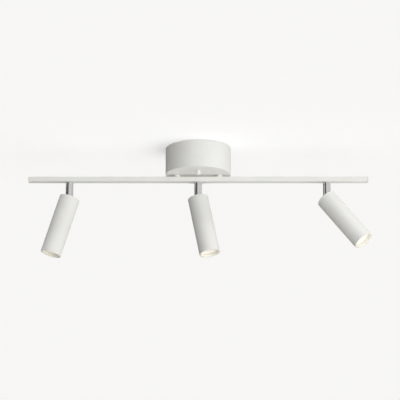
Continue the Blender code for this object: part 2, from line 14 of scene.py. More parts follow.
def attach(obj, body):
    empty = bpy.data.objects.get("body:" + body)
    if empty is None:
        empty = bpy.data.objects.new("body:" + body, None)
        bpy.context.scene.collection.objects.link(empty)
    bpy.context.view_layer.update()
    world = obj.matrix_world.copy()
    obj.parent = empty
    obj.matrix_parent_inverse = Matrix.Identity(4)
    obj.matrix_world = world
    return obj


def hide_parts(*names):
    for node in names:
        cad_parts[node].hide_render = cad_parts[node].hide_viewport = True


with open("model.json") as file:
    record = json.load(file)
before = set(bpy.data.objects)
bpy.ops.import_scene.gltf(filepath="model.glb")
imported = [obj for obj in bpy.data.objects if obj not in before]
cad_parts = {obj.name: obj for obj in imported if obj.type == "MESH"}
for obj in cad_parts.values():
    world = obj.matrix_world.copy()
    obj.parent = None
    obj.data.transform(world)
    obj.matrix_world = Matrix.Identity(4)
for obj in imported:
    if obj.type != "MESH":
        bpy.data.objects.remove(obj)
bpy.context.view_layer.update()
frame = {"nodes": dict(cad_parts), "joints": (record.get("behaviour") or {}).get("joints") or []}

# %% [markdown]
# An operator works on whatever is selected, and the loaded nodes are selected, so every step
# starts from nothing selected. These two helpers are used all through the lesson.

# %% Select with care
def deselect():
    if bpy.context.mode != "OBJECT":
        bpy.ops.object.mode_set(mode="OBJECT")
    bpy.ops.object.select_all(action="DESELECT")


def select(obj):
    deselect()
    obj.select_set(True)
    bpy.context.view_layer.objects.active = obj


deselect()
print("selected objects", len(bpy.context.selected_objects))

# %% [markdown]
# The joints give the place of each head. A head swivels on an upright axis and tilts on a pin.
# The pin's direction gives the heading, and the middle of the tilt joint's travel is straight
# down, so the lean at rest can be read from the joint's limits. Each frame below turns a piece
# that was modelled upright at the origin into its place in the room.

# %% Read the frames of the heads
SIDES = ("left", "middle", "right")
STEM_FRAME, HEAD_FRAME = {}, {}
for joint in frame["joints"]:
    kind, _, side = joint["name"].partition("_")
    if kind != "tilt":
        continue
    pivot, pin = Vector(joint["pos_m"]), Vector(joint["axis"])
    heading = atan2(-pin.y, -pin.x)
    lean = radians(-sum(joint["range_deg"]) / 2)
    STEM_FRAME[side] = Matrix.Translation(pivot) @ Matrix.Rotation(heading, 4, "Z")
    HEAD_FRAME[side] = STEM_FRAME[side] @ Matrix.Rotation(-lean, 4, "X")
    print(side, "heading", round(degrees(heading), 1), "lean", round(degrees(lean), 1))


def measure(node, place=Matrix.Identity(4)):
    """Lowest and highest corner of a loaded node, measured in one of the frames above."""
    back = place.inverted()
    points = [back @ v.co for v in frame["nodes"][node].data.vertices]
    low = Vector([min(p[i] for p in points) for i in range(3)])
    high = Vector([max(p[i] for p in points) for i in range(3)])
    return low, high


# %% [markdown]
# ## Finishes
# A finish that is one flat colour looks like plastic foam. Real powder coat has a fine orange
# peel, and it drifts a little in tone and gloss. Effects that several finishes need are node
# groups with named sockets: each gives a colour, a mask or a height, and the shader itself
# stays in the material.

# %% Helpers for node groups
def new_group(name, inputs, outputs):
    """An empty group with the given sockets. Each is (name, kind, value) or (name, kind)."""
    tree = bpy.data.node_groups.new(name, "ShaderNodeTree")
    for label, kind, value in inputs:
        socket = tree.interface.new_socket(name=label, in_out="INPUT", socket_type="NodeSocket" + kind)
        if value is not None:
            socket.default_value = value
    for label, kind in outputs:
        tree.interface.new_socket(name=label, in_out="OUTPUT", socket_type="NodeSocket" + kind)
    return tree, tree.nodes.new("NodeGroupInput").outputs, tree.nodes.new("NodeGroupOutput").inputs


def fill(tree, node, values):
    """Sets each given socket of a node to a value, or joins it to another socket."""
    for key, value in values.items():
        if isinstance(value, bpy.types.NodeSocket):
            tree.links.new(value, node.inputs[key])
        else:
            node.inputs[key].default_value = value
    return node


def add(tree, kind, values, **settings):
    """A node with its settings and its sockets filled."""
    node = tree.nodes.new("ShaderNode" + kind)
    for key, value in settings.items():
        setattr(node, key, value)
    return fill(tree, node, values)


def maths(tree, operation, first, second=0.0):
    return add(tree, "Math", {0: first, 1: second}, operation=operation).outputs[0]


def spread(tree, value, low, high, start=0.35, end=0.65):
    """Noise stays near its middle, so start and end widen it to run from low to high."""
    values = {"Value": value, "From Min": start, "From Max": end, "To Min": low, "To Max": high}
    return add(tree, "MapRange", values).outputs[0]


def noise(tree, place, scale, detail=2.0):
    return add(tree, "TexNoise", {"Vector": place, "Scale": scale, "Detail": detail}).outputs[0]


def blend_color(tree, mask, first, second):
    """Mixes two colours, each a socket or a value. A Mix node takes its colours in sockets 6 and 7."""
    return add(tree, "Mix", {0: mask, 6: first, 7: second}, data_type="RGBA").outputs[2]


print("node helpers ready")

# %% [markdown]
# The first group is the skin of a sprayed or moulded surface: fine peel as a height, a slow
# drift of tone between two colours, and a drift of roughness. The tone is mixed in the group
# because it changes over the surface.

# %% Group: sprayed skin
skin, given, gives = new_group(
    "sprayed_skin",
    (("Place", "Vector", None), ("Tone", "Color", (0.8, 0.8, 0.8, 1)),
     ("Deep Tone", "Color", (0.7, 0.7, 0.7, 1)), ("Grain Scale", "Float", 1400.0),
     ("Smooth", "Float", 0.4), ("Rough", "Float", 0.5)),
    (("Color", "Color"), ("Roughness", "Float"), ("Height", "Float")),
)
drift = spread(skin, noise(skin, given["Place"], 14.0, 3.0), 0.0, 1.0)
speck = spread(skin, noise(skin, given["Place"], 420.0, 2.0), 0.0, 0.35, 0.58, 0.75)
amount = add(skin, "Clamp", {"Value": maths(skin, "ADD", drift, speck)}).outputs[0]
skin.links.new(blend_color(skin, amount, given["Tone"], given["Deep Tone"]), gives["Color"])
gloss = spread(skin, noise(skin, given["Place"], 60.0, 2.0), 0.0, 1.0)
values = {"Value": gloss, "To Min": given["Smooth"], "To Max": given["Rough"]}
skin.links.new(add(skin, "MapRange", values).outputs[0], gives["Roughness"])
fine = noise(skin, given["Place"], given["Grain Scale"], 3.0)
skin.links.new(fine, gives["Height"])
print("group", skin.name, "with", len(skin.nodes), "nodes")

# %% [markdown]
# Dust settles where a surface looks up, and it is thicker in some patches than in others. The
# group reads only the surface's own normal and place, so it is the same from every side.

# %% Group: settled dust
dust, given, gives = new_group(
    "settled_dust",
    (("Place", "Vector", None), ("Normal", "Vector", None), ("Amount", "Float", 0.3)),
    (("Mask", "Float"),),
)
upward = add(dust, "SeparateXYZ", {0: given["Normal"]}).outputs[2]
facing = spread(dust, upward, 0.0, 1.0, 0.35, 0.95)
patches = spread(dust, noise(dust, given["Place"], 90.0, 4.0), 0.35, 1.0)
laid = maths(dust, "MULTIPLY", maths(dust, "MULTIPLY", facing, patches), given["Amount"])
dust.links.new(laid, gives["Mask"])
print("group", dust.name, "with", len(dust.nodes), "nodes")

# %% [markdown]
# Turned and drawn metal carries fine lines across its length. Stretching a noise along two
# axes leaves rings that change only along the third.

# %% Group: turning lines
lines, given, gives = new_group(
    "turning_lines",
    (("Place", "Vector", None), ("Pitch", "Float", 2600.0), ("Smooth", "Float", 0.1),
     ("Rough", "Float", 0.2)),
    (("Roughness", "Float"), ("Height", "Float")),
)
height = add(lines, "SeparateXYZ", {0: given["Place"]}).outputs[2]
along = add(lines, "CombineXYZ", {2: height}).outputs[0]
ring = noise(lines, along, given["Pitch"], 2.0)
smudge = spread(lines, noise(lines, given["Place"], 130.0, 3.0), 0.0, 1.0, 0.45, 0.75)
values = {"Value": smudge, "To Min": given["Smooth"], "To Max": given["Rough"]}
lines.links.new(add(lines, "MapRange", values).outputs[0], gives["Roughness"])
lines.links.new(ring, gives["Height"])
print("group", lines.name, "with", len(lines.nodes), "nodes")

# %% [markdown]
# A painted or moulded finish puts the skin group under a thin veil of dust. Its colours, gloss
# range, grain size and grain depth are what tell paint from nylon or cable insulation. The mask
# of the chip board is hidden inside the head, so a fine white skin is enough for it.

# %% Painted and moulded finishes
def start_material(name):
    material = bpy.data.materials.new(name)
    material.use_nodes = True
    tree = material.node_tree
    tree.nodes.clear()
    shader = tree.nodes.new("ShaderNodeBsdfPrincipled")
    output = tree.nodes.new("ShaderNodeOutputMaterial")
    tree.links.new(shader.outputs[0], output.inputs[0])
    place = tree.nodes.new("ShaderNodeTexCoord").outputs["Object"]
    return material, tree, shader, place


def place_group(tree, group, values):
    node = tree.nodes.new("ShaderNodeGroup")
    node.node_tree = group
    return fill(tree, node, values)


DUST_COLOR = (0.55, 0.53, 0.49, 1)


def coated(name, tone, deep_tone, smooth, rough, grain, depth, dusty):
    """Powder coat or moulded plastic. Depth is the height of the grain in metres."""
    material, tree, shader, place = start_material(name)
    values = {"Place": place, "Tone": (*tone, 1), "Deep Tone": (*deep_tone, 1)}
    values.update({"Grain Scale": grain, "Smooth": smooth, "Rough": rough})
    surface = place_group(tree, skin, values)
    normal = tree.nodes.new("ShaderNodeNewGeometry").outputs["Normal"]
    veil = place_group(tree, dust, {"Place": place, "Normal": normal, "Amount": dusty}).outputs[0]
    color = blend_color(tree, veil, surface.outputs["Color"], DUST_COLOR)
    tree.links.new(color, shader.inputs["Base Color"])
    tree.links.new(surface.outputs["Roughness"], shader.inputs["Roughness"])
    bump = add(tree, "Bump", {"Height": surface.outputs["Height"], "Strength": 0.5, "Distance": depth})
    tree.links.new(bump.outputs[0], shader.inputs["Normal"])
    return material


# Finish, material name, tone, deeper tone, roughness range, grain scale, grain depth and dust.
COATED = (
    ("paint", "white_powder_coat", (0.87, 0.87, 0.845), (0.83, 0.83, 0.80), 0.38, 0.50, 1500.0, 6e-5, 0.12),
    ("nylon", "natural_nylon", (0.84, 0.83, 0.79), (0.79, 0.77, 0.72), 0.45, 0.60, 900.0, 4e-5, 0.12),
    ("supply", "supply_case", (0.80, 0.80, 0.78), (0.75, 0.75, 0.73), 0.48, 0.62, 2200.0, 8e-5, 0.12),
    ("cable", "cable_skin", (0.80, 0.80, 0.77), (0.74, 0.73, 0.69), 0.30, 0.42, 600.0, 3e-5, 0.05),
    # The ring's cream is partly its own colour and partly painted light from the lens.
    ("ring", "cream_ring_painted_light", (0.93, 0.91, 0.84), (0.90, 0.88, 0.80), 0.25, 0.36, 1100.0, 3e-5, 0.0),
    ("board", "board_mask", (0.88, 0.88, 0.86), (0.84, 0.84, 0.82), 0.35, 0.45, 900.0, 2e-5, 0.0),
)
finish = {kind: coated(*values) for kind, *values in COATED}
print("coated finishes", sorted(finish))

# %% [markdown]
# Metal gets its life from its roughness. The lines group gives the rings and the smudges, and a
# slow noise tints the zinc plating a little blue and a little straw, as passivated zinc is.

# %% Metal finishes
TINT_SCALE = 45.0


def metal(name, tone, other_tone, smooth, rough, pitch, depth):
    material, tree, shader, place = start_material(name)
    shader.inputs["Metallic"].default_value = 1.0
    values = {"Place": place, "Pitch": pitch, "Smooth": smooth, "Rough": rough}
    turned = place_group(tree, lines, values)
    tint = spread(tree, noise(tree, place, TINT_SCALE, 3.0), 0.0, 1.0)
    tree.links.new(blend_color(tree, tint, (*tone, 1), (*other_tone, 1)), shader.inputs["Base Color"])
    tree.links.new(turned.outputs["Roughness"], shader.inputs["Roughness"])
    bump = add(tree, "Bump", {"Height": turned.outputs["Height"], "Strength": 0.3, "Distance": depth})
    tree.links.new(bump.outputs[0], shader.inputs["Normal"])
    return material


# Finish, material name, tone, other tone, roughness range, pitch of the lines and their depth.
METALS = (
    ("chrome", "bright_chrome", (0.80, 0.80, 0.81), (0.76, 0.76, 0.775), 0.07, 0.16, 3000.0, 4e-6),
    ("zinc", "plated_zinc", (0.66, 0.68, 0.71), (0.70, 0.68, 0.60), 0.28, 0.42, 1500.0, 2e-5),
    ("aluminium", "drawn_aluminium", (0.72, 0.73, 0.74), (0.66, 0.67, 0.68), 0.32, 0.45, 1800.0, 2e-5),
    ("bronze", "spring_bronze", (0.66, 0.45, 0.24), (0.58, 0.40, 0.22), 0.28, 0.40, 1500.0, 1e-5),
)
finish.update({kind: metal(*values) for kind, *values in METALS})
print("metal finishes made")

# %% [markdown]
# The lens glows. It spreads the light of the chip behind it with a pattern of tiny pillows, so
# the glow is a little uneven: brighter over each pillow and dimmer in the grooves between.

# %% Glowing lens
material, tree, shader, place = start_material("glowing_lens")
shader.inputs["IOR"].default_value = 1.49
shader.inputs["Roughness"].default_value = 0.18
pillows = add(tree, "TexVoronoi", {"Vector": place, "Scale": 640.0}).outputs["Distance"]
glow = spread(tree, pillows, 0.0, 1.0, 0.0, 0.9)
warm = blend_color(tree, glow, (1.0, 0.95, 0.82, 1), (0.92, 0.84, 0.68, 1))
tree.links.new(warm, shader.inputs["Emission Color"])
body = blend_color(tree, glow, (0.90, 0.88, 0.82, 1), (0.82, 0.79, 0.72, 1))
tree.links.new(body, shader.inputs["Base Color"])
shader.inputs["Emission Strength"].default_value = 0.17
swell = maths(tree, "SUBTRACT", 1.0, pillows)
bump = add(tree, "Bump", {"Height": swell, "Strength": 0.6, "Distance": 0.0003})
tree.links.new(bump.outputs[0], shader.inputs["Normal"])
finish["lens"] = material
print("lens glow", shader.inputs["Emission Strength"].default_value)

# %% [markdown]
# ## Making pieces
# Most of this lamp is turned or spun, so most pieces grow from one circle: extrude the ring,
# move it, scale it, and again. A filled circle keeps its faces at both ends and gives a solid
# rod. An open circle that comes back to where it started gives a tube.

# %% Grow a turned piece
MERGE = 0.000002                # points closer than this become one


def turn(name, outline, sides, tube=False):
    """Grows a piece about Z from (radius, height) rings. A tube's outline closes on itself."""
    deselect()
    radius, height = outline[0]
    end_kind = "NOTHING" if tube else "NGON"
    bpy.ops.mesh.primitive_circle_add(vertices=sides, radius=radius, fill_type=end_kind, location=(0, 0, 0))
    obj = bpy.context.object
    obj.name = obj.data.name = name
    bpy.ops.object.mode_set(mode="EDIT")
    bpy.ops.mesh.select_mode(type="VERT")
    bpy.ops.mesh.select_all(action="SELECT")
    bpy.ops.transform.translate(value=(0, 0, height))
    for next_radius, next_height in [*outline[1:], *(outline[:1] if tube else [])]:
        rise = (0, 0, next_height - height)
        bpy.ops.mesh.extrude_region_move(TRANSFORM_OT_translate={"value": rise})
        ratio = next_radius / radius
        bpy.ops.transform.resize(value=(ratio, ratio, 1.0), center_override=(0, 0, next_height))
        radius, height = next_radius, next_height
    bpy.ops.mesh.select_all(action="SELECT")
    bpy.ops.mesh.remove_doubles(threshold=MERGE)
    bpy.ops.mesh.normals_make_consistent(inside=False)
    bpy.ops.object.mode_set(mode="OBJECT")
    return obj


def rounding(radius, height, size, start, end, steps=5):
    """Ring sizes for a rounded corner whose circle is centred at (radius, height). Angles in degrees."""
    rings = []
    for i in range(steps + 1):
        angle = radians(start + (end - start) * i / steps)
        rings.append((radius + size * cos(angle), height + size * sin(angle)))
    return rings


print("turning helper ready")

# %% [markdown]
# Plates and cases start from a cube. It is scaled to its size in edit mode, so the object
# itself stays unscaled, and its edges are bevelled: all of them, or only those along one axis.

# %% Grow a box
def box(name, low, high):
    deselect()
    low, high = Vector(low), Vector(high)
    bpy.ops.mesh.primitive_cube_add(size=1.0, location=(0, 0, 0))
    obj = bpy.context.object
    obj.name = obj.data.name = name
    bpy.ops.object.mode_set(mode="EDIT")
    bpy.ops.mesh.select_all(action="SELECT")
    bpy.ops.transform.resize(value=high - low, center_override=(0, 0, 0))
    bpy.ops.transform.translate(value=(low + high) / 2)
    bpy.ops.object.mode_set(mode="OBJECT")
    return obj


def pick_edges(obj, wanted):
    """Selects the edges whose two ends pass the test, in edge mode."""
    select(obj)
    bpy.ops.object.mode_set(mode="EDIT")
    bpy.ops.mesh.select_mode(type="EDGE")
    bpy.ops.mesh.select_all(action="DESELECT")
    bpy.ops.object.mode_set(mode="OBJECT")
    for edge in obj.data.edges:
        a, b = (obj.data.vertices[i].co for i in edge.vertices)
        edge.select = wanted(a, b)
    bpy.ops.object.mode_set(mode="EDIT")


def round_along(obj, axis, size, segments):
    """Bevels the edges that run along one axis, or every edge when axis is None."""
    def runs(a, b):
        across = b - a
        return axis is None or abs(across[axis]) > 0.99 * across.length

    pick_edges(obj, runs)
    bpy.ops.mesh.bevel(offset=size, segments=segments, profile=0.5, affect="EDGES")
    bpy.ops.object.mode_set(mode="OBJECT")


def pick_faces(obj, wanted):
    """Selects the faces that pass the test, and leaves the object in edit mode."""
    select(obj)
    bpy.ops.object.mode_set(mode="EDIT")
    bpy.ops.mesh.select_mode(type="FACE")
    bpy.ops.mesh.select_all(action="DESELECT")
    bpy.ops.object.mode_set(mode="OBJECT")
    count = 0
    for face in obj.data.polygons:
        face.select = wanted(face)
        count += face.select
    bpy.ops.object.mode_set(mode="EDIT")
    return count


print("box helpers ready")

# %% [markdown]
# Holes are drilled with a Boolean modifier that is applied at once, and its cutter is then
# removed. A finished piece gets smooth shading with sharp corners kept, and weighted normals,
# so that big flat faces stay flat beside their small rounded edges.

# %% Drill, place and finish
def carve(obj, cutter, operation="DIFFERENCE"):
    select(obj)
    bpy.ops.object.modifier_add(type="BOOLEAN")
    modifier = obj.modifiers[-1]
    modifier.operation = operation
    modifier.object = cutter
    bpy.ops.object.modifier_apply(modifier=modifier.name)
    bpy.data.objects.remove(cutter)


def shift(obj, place):
    """Turns and moves the piece by a frame, and applies that to its mesh."""
    select(obj)
    obj.matrix_world = place
    bpy.ops.object.transform_apply(location=True, rotation=True, scale=True)
    return obj


def rod(radius, start, end, sides=32):
    """A plain cutter between two points."""
    start, end = Vector(start), Vector(end)
    along = end - start
    made = turn("cutter", [(radius, 0.0), (radius, along.length)], sides)
    turned = along.to_track_quat("Z", "Y").to_matrix().to_4x4()
    return shift(made, Matrix.Translation(start) @ turned)


def dress(obj, material, sharp=35.0):
    """Shades the piece and gives it its finish."""
    select(obj)
    bpy.ops.object.shade_smooth_by_angle(angle=radians(sharp))
    bpy.ops.object.modifier_add(type="WEIGHTED_NORMAL")
    obj.modifiers[-1].keep_sharp = True
    bpy.ops.object.modifier_apply(modifier=obj.modifiers[-1].name)
    obj.data.materials.clear()
    obj.data.materials.append(finish[material])
    return obj


def copy_of(obj, name):
    """A copy with its own mesh."""
    select(obj)
    bpy.ops.object.duplicate()
    made = bpy.context.object
    made.name = made.data.name = name
    return made


def hand_in(obj, body, slot, *nodes):
    """The piece rides on a body and stands for loaded nodes, which it hides. Its slot is not used."""
    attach(obj, body)
    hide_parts(*nodes)
    return obj


def place_three(obj, start, slot, node, frames=HEAD_FRAME, body="head_"):
    """Copies a piece to the three lights, turns each into its frame, sets it on its body, hides its node."""
    obj.name = obj.data.name = start + "middle"
    made = {side: copy_of(obj, start + side) for side in ("left", "right")}
    made["middle"] = obj
    for side in SIDES:
        shift(made[side], frames[side])
        hand_in(made[side], body + side, slot, node + side)
    print(start, "placed at", len(made), "lights")


ROOT = "canopy_and_bar"
print("finishing helpers ready")

# %% [markdown]
# ## Canopy
# The canopy is a shallow pressed steel cup, open at the ceiling. It grows from the inner rim:
# over the rim, down the outer wall, round the pressed corner and across the floor to the
# middle, then back up on the inside. Both rims are rounded, because a pressed edge is.

# %% Model the canopy
low, high = measure("canopy")
WALL = 0.0015
RIM = 0.0006                    # rounding of the rims
PRESSED = 0.0013                # rounding of the pressed corner
MIDDLE = 0.004                  # the last ring, closed by one flat face
radius = high.x
inner = radius - WALL
floor_top = low.z + WALL
canopy = turn(
    "canopy_shell",
    [
        (MIDDLE, floor_top), (inner - PRESSED, floor_top),
        *rounding(inner - RIM, floor_top + RIM, RIM, -90, 0, 4),
        *rounding(inner + RIM, high.z - RIM, RIM, 180, 90, 4),
        *rounding(radius - RIM, high.z - RIM, RIM, 90, 0, 4),
        *rounding(radius - PRESSED, low.z + PRESSED, PRESSED, 0, -90, 8), (MIDDLE, low.z),
    ],
    192,
)
print("canopy", [round(v * 1000, 1) for v in canopy.dimensions], "mm")

# %% [markdown]
# Four holes go through the canopy floor: two for the cap nuts' studs and two for the hollow
# bolts that carry the bar. Their places come from the pieces that pass through them.

# %% Drill the canopy
STUD_HOLE, BOLT_HOLE = 0.0023, 0.0033
THROUGH = 0.002                 # how far a cutter goes past a wall


def middle_of(node):
    a, b = measure(node)
    return (a + b) / 2


for size, nodes in ((STUD_HOLE, ("stud_front", "stud_rear")), (BOLT_HOLE, ("spacer_left", "spacer_right"))):
    for node in nodes:
        spot = middle_of(node)
        carve(canopy, rod(size, (spot.x, spot.y, low.z - THROUGH), (spot.x, spot.y, floor_top + THROUGH)))
dress(canopy, "paint")
hand_in(canopy, ROOT, "white_paint", "canopy")
print("canopy faces", len(canopy.data.polygons))

# %% [markdown]
# The cap nuts pull the canopy up to the ceiling. Each is a turned cap with a rounded crown,
# a fine groove above its foot, and a blind hole for the stud.

# %% Model the cap nuts
CROWN, CAP_FLOOR = 0.0014, 0.0020
GROOVE_TOP, GROOVE_DEPTH = 0.0012, 0.0003
for end in ("front", "rear"):
    node = "cap_nut_" + end
    low, high = measure(node)
    radius = (high.x - low.x) / 2
    well = low.z + CAP_FLOOR
    groove_top, waist = high.z - GROOVE_TOP, radius - GROOVE_DEPTH
    cap = turn(
        "cap_" + end,
        [
            (STUD_HOLE, well), (STUD_HOLE, high.z), (radius - 0.0002, high.z), (radius, high.z - 0.0002),
            (radius, groove_top), (waist, groove_top - 0.0002), (waist, groove_top - 0.0006),
            (radius, groove_top - 0.0008), *rounding(radius - CROWN, low.z + CROWN, CROWN, 0, -90, 7),
        ],
        64,
    )
    spot = middle_of(node)
    shift(cap, Matrix.Translation((spot.x, spot.y, 0)))
    dress(cap, "paint")
    hand_in(cap, ROOT, "white_paint", node)
    print(cap.name, "at", [round(v * 1000, 1) for v in spot], "mm")

# %% [markdown]
# Two spacer tubes hold the bar off the canopy. Each tube's outline closes on itself.

# %% Model the spacers
for side in ("left", "right"):
    node = "spacer_" + side
    low, high = measure(node)
    spot = middle_of(node)
    radius, edge = (high.x - low.x) / 2, 0.0002
    tube = turn(
        "spacer_tube_" + side,
        [(BOLT_HOLE, low.z), (BOLT_HOLE, high.z), (radius - edge, high.z), (radius, high.z - edge),
         (radius, low.z + edge), (radius - edge, low.z)],
        48, tube=True,
    )
    shift(tube, Matrix.Translation((spot.x, spot.y, 0)))
    dress(tube, "paint")
    hand_in(tube, ROOT, "white_paint", node)
    print(tube.name, "is", round((high.z - low.z) * 1000, 1), "mm high")

# %% [markdown]
# ## Bar
# The bar is a rectangular steel tube with small rounded corners. A cube becomes the tube: the
# long edges are bevelled, the two ends are inset by the wall, and the inset ends are bridged
# through the middle to open the duct that carries the leads.

# %% Model the bar
low, high = measure("bar")
BAR_WALL, BAR_EDGE, BUSH_HOLE = 0.0012, 0.0011, 0.0058
bar = box("rail", low, high)
round_along(bar, 0, BAR_EDGE, 6)
ends = pick_faces(bar, lambda face: abs(face.normal.x) > 0.99)
bpy.ops.mesh.inset(thickness=BAR_WALL, use_even_offset=True)
bpy.ops.mesh.bridge_edge_loops()
bpy.ops.mesh.select_all(action="SELECT")
bpy.ops.mesh.normals_make_consistent(inside=False)
bpy.ops.object.mode_set(mode="OBJECT")
for side in SIDES:
    spot = STEM_FRAME[side].translation
    carve(bar, rod(BUSH_HOLE, (spot.x, 0, low.z - THROUGH), (spot.x, 0, low.z + THROUGH), 48))
for side in ("left", "right"):
    spot = middle_of("spacer_" + side)
    carve(bar, rod(BOLT_HOLE, (spot.x, 0, high.z - THROUGH), (spot.x, 0, high.z + THROUGH)))
dress(bar, "paint")
hand_in(bar, ROOT, "white_paint", "bar")
print("bar ends inset", ends, "faces", len(bar.data.polygons))

# %% [markdown]
# An end plug closes each end of the bar: a plate as big as the section, and a slightly tapered
# plug behind it that presses into the duct. The plug is extruded from the plate's inner face, and
# an inset of the outer face keeps its middle evenly shaded beside the rounded corners.

# %% Model the end plugs
PLATE = 0.0012
SLACK = 0.0003                  # clearance between a piece and its neighbour
for side, sign in (("left", -1), ("right", 1)):
    node = "bar_end_" + side
    low, high = measure(node)
    outer = high.x if sign > 0 else low.x
    near, far = sorted((outer, outer - sign * PLATE))
    cap = box("rail_end_" + side, (near, low.y, low.z), (far, high.y, high.z))
    round_along(cap, 0, BAR_EDGE, 6)
    pick_faces(cap, lambda face, s=sign: face.normal.x * s < -0.99)
    bpy.ops.mesh.inset(thickness=BAR_WALL + SLACK, use_even_offset=True)
    reach = (high.x - low.x) - PLATE
    bpy.ops.mesh.extrude_region_move(TRANSFORM_OT_translate={"value": (-sign * reach, 0, 0)})
    bpy.ops.transform.resize(value=(1, 0.98, 0.96))
    bpy.ops.object.mode_set(mode="OBJECT")
    rim = pick_faces(cap, lambda face, s=sign: face.normal.x * s > 0.99)
    bpy.ops.mesh.inset(thickness=0.0003, use_even_offset=True)
    bpy.ops.object.mode_set(mode="OBJECT")
    dress(cap, "paint")
    hand_in(cap, ROOT, "white_paint", node)
    print(cap.name, [round(v * 1000, 1) for v in cap.dimensions], "mm, faces inset", rim)

# %% [markdown]
# ## Stems
# Each stem turns in a nylon bush that sits in the bar. Only the bush's flange shows, as a thin
# washer under the bar.

# %% Model the bushes
low, high = measure("swivel_bush_middle")
radius, edge = (high.x - low.x) / 2, 0.0003
BUSH_BORE, SLEEVE, FLANGE = 0.0048, 0.0055, 0.0008
bush = turn(
    "bush_ring_middle",
    [
        (BUSH_BORE, low.z + 0.0002), (BUSH_BORE + 0.0002, low.z), (radius - edge, low.z),
        *rounding(radius - edge, low.z + edge, edge, -90, 0, 3),
        (radius, low.z + FLANGE - 0.0001), (radius - 0.0001, low.z + FLANGE), (SLEEVE, low.z + FLANGE),
        (SLEEVE, high.z - 0.0002), (SLEEVE - 0.0002, high.z), (BUSH_BORE, high.z),
    ],
    64, tube=True,
)
dress(bush, "nylon")
pivots = {side: STEM_FRAME[side].translation for side in SIDES}
for side in ("left", "right"):
    made = copy_of(bush, "bush_ring_" + side)
    shift(made, Matrix.Translation((pivots[side].x, 0, 0)))
    hand_in(made, ROOT, "nylon", "swivel_bush_" + side)
hand_in(bush, ROOT, "nylon", "swivel_bush_middle")
print("bush flange", round(radius * 2000, 1), "mm across")

# %% [markdown]
# The stem is a chromed brass rod: a neck that goes up into the bar, a rounded shoulder, a
# straight shaft and a ball end with a bore for the lead. It's modelled in its own frame, with
# the hinge pin's axis at the origin, and copied into place three times.

# %% Model the stem
low, high = measure("stem_middle", STEM_FRAME["middle"])
shaft, neck, bore = (high.y - low.y) / 2, 0.0045, 0.0030
flange_low = measure("swivel_bush_middle")[0].z
shoulder = flange_low - SLACK - pivots["middle"].z
edge, line = 0.0006, 0.00025    # rounding of the shoulder, and depth of the turned line below it
ball = rounding(0, 0, shaft, 0, -66, 14)
stem = turn(
    "chrome_stem_middle",
    [
        (bore, high.z), (neck - 0.0003, high.z), (neck, high.z - 0.0003), (neck, shoulder),
        (shaft - edge, shoulder), *rounding(shaft - edge, shoulder - edge, edge, 90, 0, 5),
        (shaft, shoulder - 0.0042), (shaft - line, shoulder - 0.0045), (shaft - line, shoulder - 0.0049),
        (shaft, shoulder - 0.0052), (shaft, 0.004), *ball, (bore, low.z),
    ],
    96, tube=True,
)
FLAT, FLAT_TOP, PIN_HOLE, PAST = high.x, 0.0080, 0.0018, 0.02
carve(stem, box("cutter", (FLAT, -PAST, -PAST), (PAST, PAST, FLAT_TOP)))
carve(stem, rod(PIN_HOLE, (-PAST, 0, 0), (PAST, 0, 0)))
dress(stem, "chrome")
print("stem", [round(v * 1000, 1) for v in stem.dimensions], "mm, shoulder", round(shoulder * 1000, 1))

# %% Place the stems
place_three(stem, "chrome_stem_", "chrome", "stem_", STEM_FRAME, "stem_body_")

# %% [markdown]
# ## Heads
# A head's shade is a spun aluminium tube, open at both ends, with a rounded top edge and a thin
# lip at the mouth. All the pieces of a head are modelled upright, with the hinge pin's axis at
# the origin and the mouth down, then copied three times and turned into their frames.

# %% Measure a head
HEAD_LOW, HEAD_HIGH = measure("shade_middle", HEAD_FRAME["middle"])
print("head", [round(v * 1000, 1) for v in HEAD_HIGH - HEAD_LOW], "mm")

# %% Model the shade
radius, wall, lip, edge = HEAD_HIGH.x, 0.0015, 0.00045, 0.0009
inner = radius - wall
END = 0.020                     # a ring this far from each end keeps the long wall evenly shaded
top, mouth = HEAD_HIGH.z, HEAD_LOW.z
shade = turn(
    "shade",
    [
        (inner, top - 0.0002), (inner + 0.0002, top), *rounding(radius - edge, top - edge, edge, 90, 0, 7),
        (radius, top - END), (radius, mouth + END), *rounding(radius - lip, mouth + lip, lip, 0, -90, 5),
        *rounding(inner + lip, mouth + lip, lip, -90, -180, 5), (inner, mouth + END), (inner, top - END),
    ],
    144, tube=True,
)
dress(shade, "paint")
place_three(shade, "lamp_shade_", "white_paint", "shade_")

# %% [markdown]
# A die-cast cover closes the top of the head. A slot in it lets the stem swing, and two ears
# under it hold the hinge pin. The slot's cutter starts as a cube whose upright edges are
# bevelled until they meet, and the ears are joined on with a second Boolean.

# %% Model the cover
low, high = measure("end_cap_middle", HEAD_FRAME["middle"])
radius, thick, edge = high.x, 0.0030, 0.0005
under = high.z - thick
cover = turn(
    "cover",
    [(radius - edge, under), (radius, under + edge), *rounding(radius - edge, high.z - edge, edge, 0, 90, 5)],
    128,
)
EAR_INNER, EAR_OUTER, EAR_HALF, EAR_ROUND = 0.0084, 0.0114, 0.0050, 0.0032
NEAR = 1e-5                     # points this close count as being in one plane
for sign in (-1, 1):
    near, far = sorted((sign * EAR_INNER, sign * EAR_OUTER))
    ear = box("ear", (near, -EAR_HALF, low.z), (far, EAR_HALF, under + 0.0010))
    pick_edges(ear, lambda a, b: max(a.z, b.z) < low.z + NEAR and abs(a.y - b.y) < NEAR)
    bpy.ops.mesh.bevel(offset=EAR_ROUND, segments=8, profile=0.5, affect="EDGES")
    bpy.ops.object.mode_set(mode="OBJECT")
    carve(cover, ear, "UNION")
SLOT_WIDTH, SLOT_LENGTH = 0.0081, 0.0185
ALMOST = 0.995                  # two bevels that met exactly would leave edges of no length
slot = box("slot", (-SLOT_WIDTH, -SLOT_LENGTH, under - THROUGH), (SLOT_WIDTH, SLOT_LENGTH, high.z + THROUGH))
round_along(slot, 2, SLOT_WIDTH * ALMOST, 12)
carve(cover, slot)
